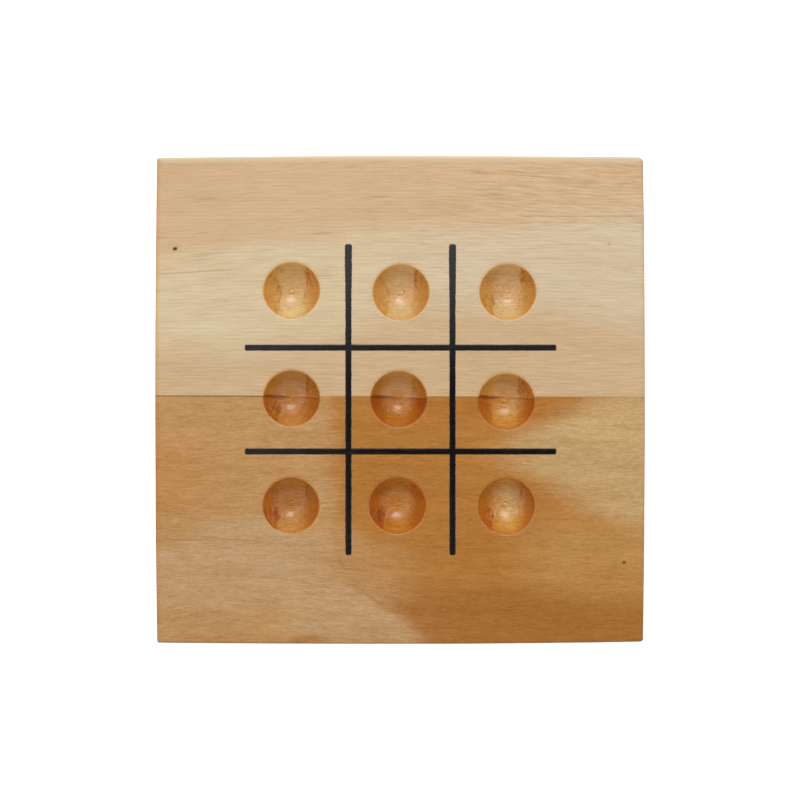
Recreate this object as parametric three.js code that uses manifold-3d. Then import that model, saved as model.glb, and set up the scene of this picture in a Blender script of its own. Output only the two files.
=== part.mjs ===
// Tic tac toe board: a square of lacquered pine, edge-glued from two planks, with nine round
// hollows for marbles and a black # printed between them.
// Millimetres. X runs along the grain, Y runs up the board from the amber plank to the pale one,
// +Z is up. The origin is in the middle of the underside, on the surface the board stands on.
import * as THREE from "three";
import { mergeVertices } from "three/addons/utils/BufferGeometryUtils.js";
import Module from "manifold-3d";

// ---- driving dimensions ----
const BOARD_X = 152.5; // across the middle of the board, along the grain
const BOARD_Y = 152.0; // across the middle of the board, over the two planks
const THICKNESS = 19.0; // dressed 3/4 inch stock
const SIDE_CROWN = 0.6; // how far each sanded side stands proud at its middle
const CORNER_R = 1.2; // rounding of the four upright corners
const EDGE_EASE = 0.5; // eased arris round the top and bottom faces

const GLUE_LOW = 0.9375; // the bond between the planks, just above the middle
const GLUE_HIGH = 1.25;

const CUTTER_R = 9.0; // round-nosed cutter that makes the hollows
const HOLLOW_R = 8.85; // radius of a hollow's rim at the top face
// centre of each hollow, row by row from the top left: they wander a little, as hand-fed boring does
const HOLLOWS = [
  [-33.75, 34.14],
  [0.28, 33.57],
  [33.54, 33.71],
  [-33.76, 0.61],
  [-0.4, 0.39],
  [33.05, -0.39],
  [-33.93, -32.77],
  [-0.81, -32.75],
  [33.12, -33.0],
];

const INK = 0.1875; // height of the printed film above the wood
const STROKE = 1.88; // width of a stroke
const STROKE_TOP = 2.2; // the upright strokes spread at their top ends, where the stamp pressed harder
const SPREAD_FROM = 28.0; // where the spreading starts
const NIP = 0.25; // the small cut-off at a stroke's corners
const UPRIGHTS = [-16.06, 16.31]; // X of the two upright strokes
const LEVELS = [16.25, -16.03]; // Y of the two level strokes
const UPRIGHT_ENDS = [-48.31, 48.47];
const LEVEL_ENDS = [-48.28, 48.59];

// ---- finishes ----
const palePine = new THREE.MeshStandardMaterial({
  color: 0xd2b389,
  roughness: 0.35,
  metalness: 0,
});
const amberPine = new THREE.MeshStandardMaterial({
  color: 0xbd8e55,
  roughness: 0.35,
  metalness: 0,
});
const driedGlue = new THREE.MeshStandardMaterial({
  color: 0x6b4a2a,
  roughness: 0.45,
  metalness: 0,
});
const blackInk = new THREE.MeshStandardMaterial({
  color: 0x1a1b1f,
  roughness: 0.4,
  metalness: 0,
});

// ---- joining and cutting ----
const wasm = await Module();
wasm.setup();

function solid(geometry) {
  const bare = geometry.clone();
  bare.deleteAttribute("normal");
  bare.deleteAttribute("uv");
  const merged = mergeVertices(bare, 1e-4);
  return new wasm.Manifold(
    new wasm.Mesh({
      numProp: 3,
      vertProperties: Float32Array.from(merged.attributes.position.array),
      triVerts: Uint32Array.from(merged.index.array),
    }),
  );
}

function geometryOf(made) {
  const mesh = made.getMesh();
  const points = new Float32Array(mesh.numVert * 3);
  for (let i = 0; i < mesh.numVert; i++)
    points.set(
      mesh.vertProperties.subarray(i * mesh.numProp, i * mesh.numProp + 3),
      i * 3,
    );
  const geometry = new THREE.BufferGeometry()
    .setAttribute("position", new THREE.BufferAttribute(points, 3))
    .setIndex(new THREE.BufferAttribute(Uint32Array.from(mesh.triVerts), 1));
  geometry.computeVertexNormals();
  return geometry;
}

// ---- the whole board, before it is parted into its planks ----
function boardOutline() {
  const hx = BOARD_X / 2;
  const hy = BOARD_Y / 2;
  const cx = hx - SIDE_CROWN - CORNER_R; // centre of the corner rounding
  const cy = hy - SIDE_CROWN - CORNER_R;
  const points = [];
  const steps = 8;
  const side = (t) => -1 + (2 * t) / steps;
  // right side going up, then round the corner, and so on anticlockwise
  const sides = [
    (s) => [hx - SIDE_CROWN * s * s, cy * s],
    (s) => [-cx * s, hy - SIDE_CROWN * s * s],
    (s) => [-hx + SIDE_CROWN * s * s, -cy * s],
    (s) => [cx * s, -hy + SIDE_CROWN * s * s],
  ];
  const corners = [
    [cx, cy, 0],
    [-cx, cy, 90],
    [-cx, -cy, 180],
    [cx, -cy, 270],
  ];
  sides.forEach((place, k) => {
    for (let t = 0; t <= steps; t++) points.push(place(side(t)));
    const [x, y, from] = corners[k];
    for (let a = 22.5; a < 89; a += 22.5) {
      const r = THREE.MathUtils.degToRad(from + a);
      points.push([x + CORNER_R * Math.cos(r), y + CORNER_R * Math.sin(r)]);
    }
  });
  return new THREE.Shape(points.map(([x, y]) => new THREE.Vector2(x, y)));
}

const blank = new THREE.ExtrudeGeometry(boardOutline(), {
  depth: THICKNESS - 2 * EDGE_EASE,
  bevelEnabled: true,
  bevelThickness: EDGE_EASE,
  bevelSize: EDGE_EASE,
  bevelOffset: -EDGE_EASE,
  bevelSegments: 2,
  curveSegments: 1,
}).translate(0, 0, EDGE_EASE);
let board = solid(blank);

// the cutter stops short of its full radius, so the rim is a little narrower than the ball
const cutterZ =
  THICKNESS + Math.sqrt(CUTTER_R * CUTTER_R - HOLLOW_R * HOLLOW_R);
for (const [x, y] of HOLLOWS) {
  const ball = new THREE.SphereGeometry(CUTTER_R, 28, 18)
    .rotateX(Math.PI / 2)
    .translate(x, y, cutterZ);
  board = board.subtract(solid(ball));
}

// ---- the two planks and the bond between them ----
function slab(low, high) {
  return solid(
    new THREE.BoxGeometry(200, high - low, 60).translate(
      0,
      (low + high) / 2,
      10,
    ),
  );
}

const upperPlank = new THREE.Mesh(
  geometryOf(board.intersect(slab(GLUE_HIGH, GLUE_HIGH + 100))),
  palePine,
);
upperPlank.name = "upper_plank";
const lowerPlank = new THREE.Mesh(
  geometryOf(board.intersect(slab(GLUE_LOW - 100, GLUE_LOW))),
  amberPine,
);
lowerPlank.name = "lower_plank";
const glueLine = new THREE.Mesh(
  geometryOf(board.intersect(slab(GLUE_LOW, GLUE_HIGH))),
  driedGlue,
);
glueLine.name = "glue_line";

// ---- the printed grid, one film of four crossing strokes ----
function stroke(points) {
  return solid(
    new THREE.ExtrudeGeometry(
      new THREE.Shape(points.map(([x, y]) => new THREE.Vector2(x, y))),
      { depth: INK, bevelEnabled: false, curveSegments: 1 },
    ),
  );
}

function upright(x) {
  const w = STROKE / 2;
  const t = STROKE_TOP / 2;
  const [low, high] = UPRIGHT_ENDS;
  return stroke([
    [x - w + NIP, low],
    [x + w - NIP, low],
    [x + w, low + NIP],
    [x + w, SPREAD_FROM],
    [x + t, high - 2],
    [x + t, high - NIP],
    [x + t - NIP, high],
    [x - t + NIP, high],
    [x - t, high - NIP],
    [x - t, high - 2],
    [x - w, SPREAD_FROM],
    [x - w, low + NIP],
  ]);
}

function level(y) {
  const w = STROKE / 2;
  const [low, high] = LEVEL_ENDS;
  return stroke([
    [low, y - w + NIP],
    [low + NIP, y - w],
    [high - NIP, y - w],
    [high, y - w + NIP],
    [high, y + w - NIP],
    [high - NIP, y + w],
    [low + NIP, y + w],
    [low, y + w - NIP],
  ]);
}

const printedGrid = new THREE.Mesh(
  geometryOf(
    upright(UPRIGHTS[0])
      .add(upright(UPRIGHTS[1]))
      .add(level(LEVELS[0]))
      .add(level(LEVELS[1])),
  ),
  blackInk,
);
printedGrid.name = "printed_grid";
printedGrid.position.set(0, 0, THICKNESS);

// ---- assembly ----
const part = new THREE.Group();
const gluedBoard = new THREE.Group();
gluedBoard.add(upperPlank, glueLine, lowerPlank);
part.add(gluedBoard, printedGrid);

export default part;
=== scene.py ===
"""Tic tac toe board: two lacquered pine planks, the bond between them and a printed black grid.

All shapes are worked out in millimetres and turned into metres when a mesh is made.
X runs along the grain, Y from the amber plank to the pale one, Z up; z = 0 is the underside.
"""

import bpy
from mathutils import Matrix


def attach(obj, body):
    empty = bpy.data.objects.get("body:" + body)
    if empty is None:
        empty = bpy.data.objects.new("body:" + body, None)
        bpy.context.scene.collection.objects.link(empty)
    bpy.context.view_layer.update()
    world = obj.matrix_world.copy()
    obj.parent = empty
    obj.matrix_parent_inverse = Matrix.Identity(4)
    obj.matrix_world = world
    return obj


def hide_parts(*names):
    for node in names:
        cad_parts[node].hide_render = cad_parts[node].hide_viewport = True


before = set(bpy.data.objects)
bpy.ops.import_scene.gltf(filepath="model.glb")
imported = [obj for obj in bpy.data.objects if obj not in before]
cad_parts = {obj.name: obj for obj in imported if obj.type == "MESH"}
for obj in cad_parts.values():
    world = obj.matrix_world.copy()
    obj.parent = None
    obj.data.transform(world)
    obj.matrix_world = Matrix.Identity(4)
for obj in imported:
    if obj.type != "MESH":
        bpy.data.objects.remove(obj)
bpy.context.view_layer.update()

import math

import bmesh
import bpy
import numpy as np
from mathutils import Matrix, Vector
from mathutils.geometry import delaunay_2d_cdt

# ------------------------------------------------------------------ sizes, mm
HX = 76.25  # half the board along X, at the middle of a side
HY = 76.0
T = 19.0  # top face
EDGE_R = 0.7  # eased top and bottom arrises

CUTTER_R = 9.0
RIM_R = 8.85
ROLL_START = math.radians(66)  # how far up the ball the rim starts to roll over
BALL_Z = T + math.sqrt(CUTTER_R**2 - RIM_R**2)
# x, y, then how torn the wood is: lower left, upper right, upper left
HOLLOWS = [
    (-33.75, 34.14, 0.45, 0.85, 1.0),
    (0.28, 33.57, 0.40, 0.8, 0.6),
    (33.54, 33.71, 0.55, 0.9, 0.35),
    (-33.76, 0.61, 0.75, 0.9, 0.2),
    (-0.4, 0.39, 0.15, 0.4, 0.0),
    (33.05, -0.39, 0.38, 0.9, 0.1),
    (-33.93, -32.77, 1.0, 0.55, 0.1),
    (-0.81, -32.75, 1.0, 0.5, 0.1),
    (33.12, -33.0, 0.85, 0.6, 0.1),
]
AROUND = 160  # points round a hollow
FLAT_RING = 10.4  # where a hollow's own mesh meets the flat of the board

SEAM_Y0 = 1.13  # the seam at x = 0, and how much it runs off square
SEAM_SLOPE = -0.0027
GLUE_W = 0.17  # width of the bond that shows

INK_TOP = T + 0.11
UPRIGHTS = (-16.06, 16.31)
LEVELS = (16.25, -16.03)
UP_ENDS = (-48.31, 48.47)
LV_ENDS = (-48.28, 48.59)
STROKE = 1.88
STROKE_TOP = 2.2


# ------------------------------------------------------------------ seeded noise
def _hash(ix, iy, iz, seed):
    h = (ix * 374761393 + iy * 668265263 + iz * 1442695041 + seed * 97531) & 0xFFFFFFFF
    h = ((h ^ (h >> 13)) * 1274126177) & 0xFFFFFFFF
    h = ((h ^ (h >> 15)) * 2246822519) & 0xFFFFFFFF
    return ((h ^ (h >> 16)) & 0xFFFFF) / float(0xFFFFF)


def vnoise(x, y, z, seed=0):
    """Smooth value noise, 0 to 1."""
    x, y, z = np.broadcast_arrays(
        np.asarray(x, float), np.asarray(y, float), np.asarray(z, float)
    )
    ix, iy, iz = (np.floor(a).astype(np.int64) for a in (x, y, z))
    fx, fy, fz = x - ix, y - iy, z - iz
    ux, uy, uz = (f * f * f * (f * (f * 6 - 15) + 10) for f in (fx, fy, fz))
    out = 0.0
    for dx in (0, 1):
        for dy in (0, 1):
            for dz in (0, 1):
                w = (
                    (ux if dx else 1 - ux)
                    * (uy if dy else 1 - uy)
                    * (uz if dz else 1 - uz)
                )
                out = out + w * _hash(ix + dx, iy + dy, iz + dz, seed)
    return out


def fbm(x, y, z, seed=0, octaves=3, gain=0.5):
    total, amp, norm = 0.0, 1.0, 0.0
    for k in range(octaves):
        total = total + amp * vnoise(x * 2**k, y * 2**k, z * 2**k, seed + 31 * k)
        norm += amp
        amp *= gain
    return total / norm


def sstep(lo, hi, x):
    t = np.clip((x - lo) / (hi - lo), 0, 1)
    return t * t * (3 - 2 * t)


# ------------------------------------------------------------------ board outline
def outline(inset=0.0, n_side=56, n_corner=10):
    """Anticlockwise points of the sanded outline, moved in by inset, with their outward directions.
    Each side stands proud in its middle, by its own amount towards each corner."""
    drops = {
        "right": (0.57, 0.56),  # towards the lower corner, towards the upper corner
        "top": (0.40, 0.62),  # right, left
        "left": (0.60, 0.62),  # upper, lower
        "bottom": (0.36, 0.70),  # left, right
    }
    radii = [1.6, 0.8, 0.6, 1.0]  # upper right, upper left, lower left, lower right

    def drop(name, s):
        a, b = drops[name]
        return np.where(s < 0, a, b) * np.abs(s) ** 2

    lx, ly = 75.65 - inset, 75.4 - inset
    sides = {
        "right": lambda s: (HX - inset - drop("right", s), ly * s),
        "top": lambda s: (-lx * s, HY - inset - drop("top", s)),
        "left": lambda s: (-HX + inset + drop("left", s), -ly * s),
        "bottom": lambda s: (lx * s, -HY + inset + drop("bottom", s)),
    }
    names = ["right", "top", "left", "bottom"]
    radii = [max(r - inset, 0.22) for r in radii]
    ends = {}
    for k, name in enumerate(names):
        s = np.linspace(
            -1 + radii[(k - 1) % 4] / ly, 1 - radii[k] / ly, n_side + 1
        )
        ends[name] = list(zip(*sides[name](s)))
    pts = []
    for k, name in enumerate(names):
        run = ends[name]
        pts += run
        nxt = ends[names[(k + 1) % 4]]
        p0, p1 = np.array(run[-1]), np.array(nxt[0])
        t0 = p0 - np.array(run[-2])
        t1 = np.array(nxt[1]) - p1
        t0, t1 = t0 / np.linalg.norm(t0), t1 / np.linalg.norm(t1)
        h = np.linalg.norm(p1 - p0) * 0.39
        for t in np.linspace(0, 1, n_corner + 2)[1:-1]:  # a cubic round the corner
            b = (
                (1 - t) ** 3 * p0
                + 3 * (1 - t) ** 2 * t * (p0 + t0 * h)
                + 3 * (1 - t) * t**2 * (p1 - t1 * h)
                + t**3 * p1
            )
            pts.append(tuple(b))
    p = np.array(pts, float)
    d = np.roll(p, -1, 0) - np.roll(p, 1, 0)
    d /= np.linalg.norm(d, axis=1)[:, None]
    return p, np.stack([d[:, 1], -d[:, 0]], 1)


# ------------------------------------------------------------------ one hollow
def hollow_rings(cx, cy, low_left, up_right, up_left, seed):
    """Rings of points from the flat round a hollow in to its middle, and per point the weights
    for bowl, torn wood and the smear of the cutter."""
    touch = ROLL_START
    # the rim rolls over from the flat into the ball on a cubic
    p0 = np.array((9.45, T))
    p1 = np.array((8.45, T))
    p3 = np.array((CUTTER_R * math.sin(touch), BALL_Z - CUTTER_R * math.cos(touch)))
    p2 = p3 + 0.75 * np.array((math.cos(touch), math.sin(touch)))
    prof = [(rr, T, 0.0, 0.0, 1.0) for rr in (FLAT_RING, 10.15, 9.92, 9.68)]
    n_f = 16
    for k in range(n_f):
        t = k / n_f
        p = (
            (1 - t) ** 3 * p0
            + 3 * (1 - t) ** 2 * t * p1
            + 3 * (1 - t) * t**2 * p2
            + t**3 * p3
        )
        d = (
            3 * (1 - t) ** 2 * (p1 - p0)
            + 6 * (1 - t) * t * (p2 - p1)
            + 3 * t**2 * (p3 - p2)
        )
        d = d / np.linalg.norm(d)
        prof.append((p[0], p[1], t, d[1], -d[0]))
    n_s = 58
    for k in range(n_s):
        a = touch * (1 - k / n_s)
        prof.append(
            (
                CUTTER_R * math.sin(a),
                BALL_Z - CUTTER_R * math.cos(a),
                1.0,
                -math.sin(a),
                math.cos(a),
            )
        )
    prof = np.array(prof)
    th = np.linspace(0, 2 * math.pi, AROUND, endpoint=False)
    rho = prof[:, 0][:, None] * np.ones_like(th)[None]
    roll = prof[:, 2][:, None]
    rho = rho - 0.24 * 4 * roll * (1 - roll) * np.clip(np.sin(th), 0, 1)[None]
    z = prof[:, 1][:, None] * np.ones_like(th)[None]
    bowl = prof[:, 2][:, None] * np.ones_like(th)[None]
    nr = prof[:, 3][:, None] * np.ones_like(th)[None]
    nz = prof[:, 4][:, None] * np.ones_like(th)[None]
    c, s = np.cos(th)[None], np.sin(th)[None]
    x0, y0 = rho * c, rho * s
    u, v = x0 / RIM_R, y0 / RIM_R
    r = np.hypot(u, v)
    ang = np.degrees(np.arctan2(v, u)) % 360
    arc = CUTTER_R * np.arcsin(np.clip(rho / CUTTER_R, 0, 1))

    # slow wander of the edges of the torn patches
    w1 = (fbm(y0 / 1.7 + 9, x0 / 3.0, cx, seed, 3) - 0.5) * 0.16
    w2 = (fbm(y0 / 0.8 + 3, x0 / 1.6, cx, seed + 5, 3) - 0.5) * 0.12

    def within(a, lo, hi, soft):
        return sstep(lo - soft, lo + soft, a) * (1 - sstep(hi - soft, hi + soft, a))

    wall = sstep(0.42, 0.58, r)
    # lower left: the cutter lifted fibres up to a sharp upright edge on the patch's right
    e_ll = -0.37 - 0.13 * np.clip((-0.26 - v) / 0.54, 0, 1) + w1 * 0.7
    in_ll = 1 - sstep(-0.025, 0.025, u - e_ll)
    win_ll = within(ang, 190, 246, 7) * wall
    ll = win_ll * in_ll * low_left
    ll_edge = ll * np.exp(-np.clip(e_ll - u, 0, 9) / 0.15)
    # upper right: the same the other way about
    e_ur = 0.46 + w1 * 0.8
    in_ur = sstep(-0.03, 0.03, u - e_ur)
    win_ur = within(ang, 8, 60, 8) * wall
    ur = win_ur * in_ur * up_right
    ur_edge = ur * np.exp(-np.clip(u - e_ur, 0, 9) / 0.13) * sstep(0.1, 0.35, v)
    # upper left: a curved step where the good cut ends
    uc = -0.39 - 0.30 * np.clip((v + 0.05) / 0.58, -0.5, 1.2) ** 2 + w2 * 0.5
    ul_win = sstep(-0.28, -0.02, v) * (1 - sstep(0.48, 0.66, v)) * (r < 0.99)
    ul_step = (1 - sstep(-0.025, 0.03, u - uc)) * ul_win * np.exp(
        -np.clip(uc - u, 0, 9) / 0.16
    )
    ul = ul_step * up_left

    # fibres break off in upright flakes
    ragged = fbm(x0 / 0.62, y0 / 1.5, z / 1.2, seed + 11, 3)
    ragged2 = fbm(x0 / 0.55, y0 / 1.3, z / 1.2, seed + 17, 3)
    chips_ll = np.clip(ll * 0.75 + ll_edge, 0, 1) * sstep(0.38, 0.56, ragged)
    chips_ur = np.clip(ur * 0.55 + ur_edge, 0, 1) * sstep(0.40, 0.58, ragged2)
    chips_ul = ul * sstep(0.44, 0.60, ragged2)
    fine = fbm(x0 / 0.33, y0 / 0.42, z / 0.33, seed + 23, 2) - 0.5
    # hairline cracks carry on up and down from the edges of the patches, and break up on the way
    breaks = sstep(0.40, 0.56, fbm(x0 / 1.1, y0 / 0.9, z / 1.4, seed + 29, 3))
    left_line = e_ll + (uc - e_ll) * sstep(-0.35, -0.05, v)
    right_line = e_ur - 0.10 * np.clip(0.1 - v, 0, 1)
    crack = np.exp(-(((u - left_line) / 0.028) ** 2)) * sstep(-0.82, -0.65, v)
    crack = crack * (1 - sstep(0.40, 0.62, v)) * min(1.0, 0.25 + 0.8 * max(low_left * 0.6, up_left))
    crack2 = np.exp(-(((u - right_line) / 0.028) ** 2)) * sstep(-0.40, -0.15, v)
    crack2 = crack2 * (1 - sstep(0.55, 0.72, v)) * min(1.0, 0.2 + 0.7 * up_right)
    crack = np.clip(crack + crack2, 0, 1) * breaks

    end_wall = np.abs(c) ** 1.5 * sstep(0.35, 0.8, r)
    zone = np.maximum(np.maximum(ll, ur), 0.8 * ul)
    deep = (
        0.20 * chips_ll
        + 0.14 * ll_edge
        + 0.07 * ll
        + 0.18 * chips_ur
        + 0.08 * ur_edge
        + 0.04 * ur
        + 0.06 * crack
        + 0.10 * ul
        + 0.10 * chips_ul
        + fine * (0.07 * zone + 0.016 * end_wall + 0.004)
    )
    # the cutter's own marks: faint rings, closer together and stronger near the middle
    spiral = arc / 0.62 + th[None] / (2 * math.pi)
    ring_amp = 0.0025 * (1 - sstep(0.15, 0.6, r)) + 0.0006
    deep = deep + ring_amp * np.sin(2 * math.pi * spiral)
    # pip left at the middle, and the moat round it
    ox, oy = (
        0.22 * (_hash(seed, 3, 5, 1) - 0.5) * 2,
        0.22 * (_hash(seed, 8, 2, 2) - 0.5) * 2,
    )
    q = np.hypot(x0 - ox, y0 - oy)
    nib = 0.05 + 0.11 * float(_hash(seed, 1, 7, 3))
    deep = deep - nib * np.exp(-((q / (0.36 + 0.10 * fbm(x0, y0, seed * 0.61, 91, 2))) ** 2))
    # the clean cut isn't a true ball: shallow facets, drawn out along the grain
    facet = fbm(x0 / 2.1, y0 / 1.25, seed * 0.73, 83, 2) - 0.5
    deep = deep + 0.10 * facet * (1 - sstep(0.5, 0.85, r)) * (1 - zone)
    arc_n = fbm(np.cos(th)[None] * 1.6 + q * 0, np.sin(th)[None] * 1.6, seed * 0.37, 77, 2)
    moat = np.exp(-(((q - 0.95) / 0.30) ** 2)) * sstep(0.42, 0.66, arc_n)
    moat2 = np.exp(-(((q - 2.2) / 0.26) ** 2)) * sstep(0.50, 0.75, 1.05 - arc_n)
    deep = deep + 0.12 * moat + 0.05 * moat2

    keep = sstep(0.0, 0.9, bowl)
    deep = np.clip(deep * keep, -0.5, 0.75)
    at_rim = np.minimum(deep, 0.30)  # the flat ring outside stays where it is
    deep = np.where(bowl < 1, at_rim, deep)
    # into the wood, away from the ball's middle
    x = cx + x0 + (-nr) * deep * c
    y = cy + y0 + (-nr) * deep * s
    z = z - nz * deep
    tear = zone * keep
    chip = np.maximum(np.maximum(chips_ll, 0.8 * ll_edge), chips_ur)
    chip = np.maximum(np.maximum(chip, 0.8 * ur_edge), chips_ul)
    chip = np.maximum(chip, 0.72 * crack)
    chip = np.maximum(np.maximum(chip, 0.75 * moat), 0.45 * moat2) * keep
    halo = sstep(FLAT_RING, 9.0, rho)
    return x, y, z, bowl, tear, chip, halo


# ------------------------------------------------------------------ the whole board
class Soup:
    """Points, faces and the per-point weights of a mesh in the making."""

    def __init__(self):
        self.co, self.marks, self.faces = [], [], []

    def add(self, x, y, z, marks=(0.0, 0.0, 0.0, 0.0, 0.0)):
        self.co.append((float(x), float(y), float(z)))
        self.marks.append(marks)
        return len(self.co) - 1


def strip(soup, ring_a, ring_b, flip=False):
    n = len(ring_a)
    for i in range(n):
        j = (i + 1) % n
        quad = (ring_a[i], ring_a[j], ring_b[j], ring_b[i])
        soup.faces.append(quad[::-1] if flip else quad)


def fill(soup, outer, holes, z, step, flip=False):
    """Triangles between an outer ring and holes, all at one height, with spare points between."""
    ids = list(outer)
    edges = [(i, (i + 1) % len(outer)) for i in range(len(outer))]
    ring_of = [-1] * len(outer)
    centres = []
    for k, (ring, cx, cy) in enumerate(holes):
        base = len(ids)
        ids += ring
        ring_of += [k] * len(ring)
        edges += [(base + i, base + (i + 1) % len(ring)) for i in range(len(ring))]
        centres.append((cx, cy))
    pts = [Vector(soup.co[i][:2]) for i in ids]
    g = np.arange(-72, 72.01, step)
    for a, gx in enumerate(g):
        for gy in g + (step / 2 if a % 2 else 0):
            if abs(gy) > 73:
                continue
            if any(math.hypot(gx - cx, gy - cy) < FLAT_RING + 1.0 for cx, cy in centres):
                continue
            ids.append(soup.add(gx, gy, z))
            ring_of.append(-2)
            pts.append(Vector((gx, gy)))
    verts, _, tris, orig, _, _ = delaunay_2d_cdt(pts, edges, [], 0, 1e-7)
    for tri in tris:
        src = [orig[i][0] for i in tri]
        rings = {ring_of[i] for i in src}
        if len(rings) == 1 and rings.copy().pop() >= 0:
            continue  # inside a hole
        f = [ids[i] for i in src]
        a, b, c = (soup.co[i] for i in f)
        up = (b[0] - a[0]) * (c[1] - a[1]) - (b[1] - a[1]) * (c[0] - a[0])
        if (up > 0) == flip:
            f = f[::-1]
        soup.faces.append(tuple(f))


def build_board():
    soup = Soup()
    p, n = outline()
    count = len(p)
    # profile of the outside: (how far in from the side, height)
    prof = [(EDGE_R + 0.5, T), (EDGE_R + 0.12, T)]
    for k in range(9):
        a = math.pi / 2 * k / 8
        prof.append((EDGE_R * (1 - math.sin(a)), T - EDGE_R * (1 - math.cos(a))))
    for z in (16.5, 14.0, 11.5, 9.5, 7.5, 5.0, 2.5):
        prof.append((0.0, z))
    for k in range(9):
        a = math.pi / 2 * k / 8
        prof.append((EDGE_R * (1 - math.cos(a)), EDGE_R * (1 - math.sin(a))))
    prof += [(EDGE_R + 0.12, 0.0), (EDGE_R + 0.5, 0.0)]
    rings = []
    for inset, z in prof:
        q, _ = outline(inset)
        # the sanded sides aren't dead flat
        wob = (fbm(p[:, 0] / 22 + 5, p[:, 1] / 22, z / 14, 71, 2) - 0.5) * 0.10
        wob = np.minimum(wob * (1.0 if inset < 0.5 else 0.6) - 0.04, 0.0)
        rings.append(
            [
                soup.add(q[i, 0] + n[i, 0] * wob[i], q[i, 1] + n[i, 1] * wob[i], z)
                for i in range(count)
            ]
        )
    for a, b in zip(rings, rings[1:]):
        strip(soup, a, b, flip=True)
    # hollows
    holes = []
    for k, (cx, cy, ll, ur, ul) in enumerate(HOLLOWS):
        x, y, z, bowl, tear, chip, halo = hollow_rings(cx, cy, ll, ur, ul, 101 + 17 * k)
        across = (x - cx) / RIM_R * bowl
        ids = []
        for a in range(x.shape[0]):
            ids.append(
                [
                    soup.add(
                        x[a, b],
                        y[a, b],
                        z[a, b],
                        (
                            bowl[a, b],
                            tear[a, b],
                            across[a, b],
                            chip[a, b],
                            halo[a, b],
                        ),
                    )
                    for b in range(x.shape[1])
                ]
            )
        for a, b in zip(ids, ids[1:]):
            strip(soup, a, b)
        tip = soup.add(cx, cy, float(np.mean(z[-1])) + 0.02, (1.0, 0.0, 0.0, 0.0, 1.0))
        last = ids[-1]
        for b in range(AROUND):
            soup.faces.append((last[b], last[(b + 1) % AROUND], tip))
        holes.append((ids[0], cx, cy))
    fill(soup, rings[0], holes, T, 5.0)
    fill(soup, rings[-1], [], 0.0, 9.0, flip=True)
    return soup


def soup_to_bmesh(soup):
    bm = bmesh.new()
    layers = [
        bm.verts.layers.float.new(k)
        for k in ("bowl", "tear", "across", "chip", "halo")
    ]
    vs = []
    for co, marks in zip(soup.co, soup.marks):
        v = bm.verts.new(co)
        for layer, m in zip(layers, marks):
            v[layer] = m
        vs.append(v)
    for f in soup.faces:
        try:
            bm.faces.new([vs[i] for i in f])
        except ValueError:
            pass
    bm.normal_update()
    for f in bm.faces:
        f.smooth = True
    return bm


def cut(bm, low=None, high=None):
    """Keeps what lies between the two seam planes and closes the cuts."""
    n = Vector((-SEAM_SLOPE, 1, 0)).normalized()
    for level, sign in ((low, 1), (high, -1)):
        if level is None:
            continue
        res = bmesh.ops.bisect_plane(
            bm,
            geom=bm.verts[:] + bm.edges[:] + bm.faces[:],
            dist=1e-6,
            plane_co=Vector((0, level, 0)),
            plane_no=n * sign,
            clear_inner=True,
        )
        rim = [e for e in bm.edges if e.is_boundary]
        made = bmesh.ops.edgeloop_fill(bm, edges=rim)["faces"]
        for f in made:
            f.smooth = False
            if (f.normal.dot(n) > 0) == (sign > 0):
                f.normal_flip()
            for e in f.edges:
                e.smooth = False
        bmesh.ops.triangulate(bm, faces=made, ngon_method="EAR_CLIP")


def mesh_object(name, bm):
    for v in bm.verts:
        v.co *= 0.001
    me = bpy.data.meshes.new(name)
    bm.to_mesh(me)
    bm.free()
    ob = bpy.data.objects.new(name, me)
    bpy.context.scene.collection.objects.link(ob)
    return ob


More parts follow.
